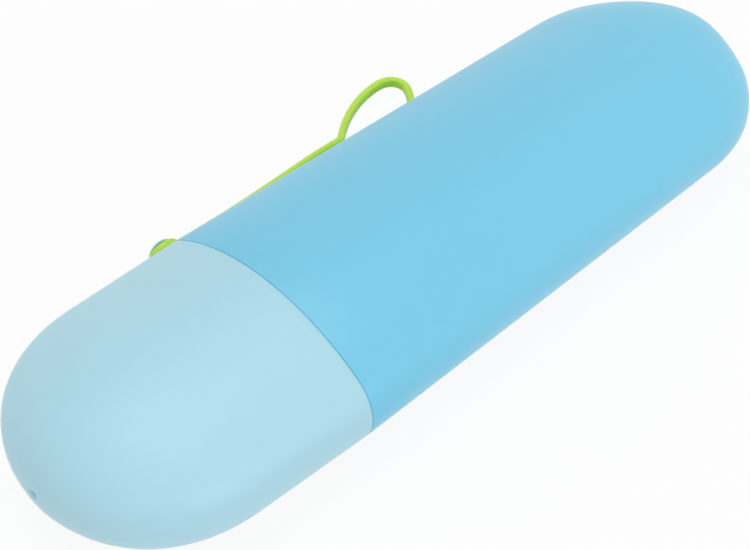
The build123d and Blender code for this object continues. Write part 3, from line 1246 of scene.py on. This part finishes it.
    def build(self) -> None:
        """Fuses the moulding into one soft piece, and works out the ends of the length that bends
        at the knuckle.
        """
        loop = self.loop()
        pick(self.strip(), self.ring(), *self.plugs(), loop)
        bpy.ops.object.join()
        loop.name = "strap_moulding"
        modify(loop, "REMESH", mode="VOXEL", voxel_size=self.grain, use_smooth_shade=True)
        modify(loop, "SMOOTH", factor=0.5, iterations=self.melting)
        finish_piece(
            loop, GREEN_SILICONE, None, "finger_loop", "closure_strap", "strap_eyelet", smooth=80
        )
        pivot = self.form.place(self.knuckle[0], self.form.half_width + self.knuckle[1])
        slope = math.radians(self.lean)
        reach = Vector((-math.sin(slope), math.cos(slope), 0)) * self.bend / 2
        tuple(pivot - reach)
        tuple(pivot + reach)
        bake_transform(loop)


@dataclass
class InnerParts:
    """The pieces inside the case, whose CAD shapes stay.

    Attributes:
        finishes: CAD nodes and their finishes.
    """

    finishes: tuple[tuple[str, Finish], ...] = (
        ("neck_sleeve", INNER_WHITE),
        ("handle_cradle", INNER_WHITE),
        ("head_cup_left", INNER_WHITE),
        ("head_cup_right", INNER_WHITE),
        ("stud_clip", CLIP_STEEL),
    )

    def dress(self, nodes: dict[str, Object]) -> None:
        """Gives each CAD node its material.

        Args:
            nodes: The frame's nodes by name.
        """
        for name, finish in self.finishes:
            for place in nodes[name].material_slots:
                place.material = finish.material()
            log.info("%s: dressed as %s", name, finish.name)


# --- The studio ---


@dataclass(frozen=True)
class Lamp:
    """A square soft lamp that looks at the case.

    Attributes:
        name: Its name.
        place: Where it hangs.
        power: Its power in watts.
        size: Its side.
    """

    name: str
    place: Triple
    power: float
    size: float = 0.9

    def hang(self) -> None:
        """Adds the lamp."""
        data = bpy.data.lights.new(self.name, "AREA")
        data.shape = "SQUARE"
        data.size = self.size
        data.energy = self.power
        item = bpy.data.objects.new(self.name, data)
        bpy.context.scene.collection.objects.link(item)
        facing = Vector(self.place).to_track_quat("Z", "Y").to_matrix().to_4x4()
        item.matrix_world = Matrix.Translation(self.place) @ facing


@dataclass
class Studio:
    """Floor, backdrop light, lamps and camera.

    Attributes:
        form: The case's form.
        aim: What the camera looks at: along, across and up from the cap's tip.
        azimuth: Turn of the view about Z in degrees, from looking along Y.
        elevation: How high the camera stands over that point, in degrees.
        roll: Turn of the camera about its own view line, in degrees.
        distance: From the camera to that point.
        lens: Focal length, in millimetres.
        clip: The nearest and the farthest that the camera sees.
        floor_size: Side of the floor.
        floor_gap: Between the floor and the case.
        floor_grey: How much light the floor sends back.
        floor_share: Share of plain white in the floor where it is looked at.
        soft_light: Strength of the light from all sides.
        lamps: The lamps.
    """

    form: Form
    aim: Triple = (98.664 * MM, 4.185 * MM, -10.565 * MM)
    azimuth: float = -48.7983
    elevation: float = 44.946
    roll: float = 4.5279
    distance: float = 321.109 * MM
    lens: float = 65.187
    clip: Pair = (0.01, 20.0)
    floor_size: float = 12.0
    floor_gap: float = 0.05 * MM
    floor_grey: float = 0.9
    floor_share: float = 0.9
    soft_light: float = 0.65
    lamps: tuple[Lamp, ...] = (
        Lamp("overhead", (0.0, 0.0, 1.3), 4.8),
        Lamp("front", (-0.1, -1.15, 0.4), 2.85),
    )

    def camera(self) -> None:
        """Adds the camera on its view line."""
        turn, rise = math.radians(self.azimuth), math.radians(self.elevation)
        level = math.cos(rise)
        back = Vector((math.sin(turn) * level, -math.cos(turn) * level, math.sin(rise)))
        data = bpy.data.cameras.new("camera")
        data.lens = self.lens
        data.clip_start, data.clip_end = self.clip
        item = bpy.data.objects.new("camera", data)
        bpy.context.scene.collection.objects.link(item)
        facing = back.to_track_quat("Z", "Y").to_matrix().to_4x4()
        tilt = Matrix.Rotation(math.radians(self.roll), 4, "Z")
        place = self.form.place(*self.aim) + back * self.distance
        item.matrix_world = Matrix.Translation(place) @ facing @ tilt
        bpy.context.scene.camera = item

    def floor(self) -> None:
        """Adds a white floor that keeps a faint shadow of the case."""
        place = (0, 0, -self.floor_gap)
        bpy.ops.mesh.primitive_plane_add(size=self.floor_size, location=place)
        plane = bpy.context.object
        plane.name = "floor"
        made = bpy.data.materials.new("floor_white")
        shader = Shader(made)
        grey = self.floor_grey
        matt = shader.node("ShaderNodeBsdfDiffuse", {}, {"Color": (grey, grey, grey, 1.0)})
        glow = shader.node("ShaderNodeEmission", {}, {"Color": WHITE, "Strength": 1.0})
        mix = shader.blend_shaders(shader.looked_at() * self.floor_share, matt, glow)
        shader.node("ShaderNodeOutputMaterial", {}, {"Surface": mix})
        plane.data.materials.append(made)

    def world(self) -> None:
        """Makes the world white where it is seen, and a soft light elsewhere."""
        world = bpy.data.worlds.new("studio")
        bpy.context.scene.world = world
        shader = Shader(world)
        soft, seen = (
            shader.node("ShaderNodeBackground", {}, {"Color": WHITE, "Strength": strength})
            for strength in (self.soft_light, 1.0)
        )
        mix = shader.blend_shaders(shader.looked_at(), soft, seen)
        shader.node("ShaderNodeOutputWorld", {}, {"Surface": mix})

    def build(self) -> None:
        """Sets up the whole studio."""
        scene = bpy.context.scene
        scene.view_settings.view_transform = "Standard"
        self.world()
        self.floor()
        for lamp in self.lamps:
            lamp.hang()
        self.camera()
        log.info("studio ready")


def main() -> None:
    """Builds every piece of the case and the studio round it."""
    logging.basicConfig(level=logging.INFO, format="%(name)s: %(message)s")
    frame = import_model()
    form = Form.from_frame()
    stud_low, stud_high = (Vector(corner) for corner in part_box("cap_stud"))
    stud = (stud_low.x + stud_high.x) / 2 - form.tip
    shells = Shells(form, stud, FEET)
    shells.cap()
    shells.body()
    rear_plate = Vector(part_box("handle_cradle")[1]).x - form.tip
    shells.ribs(rear_plate + CRADLE_GAP, form.length - CROSS_RIBS)
    Stud(form, stud).build()
    Strap(form, stud, FEET, KNUCKLE).build()
    InnerParts().dress(frame["nodes"])
    Studio(form).build()


if __name__ == "__main__":
    main()
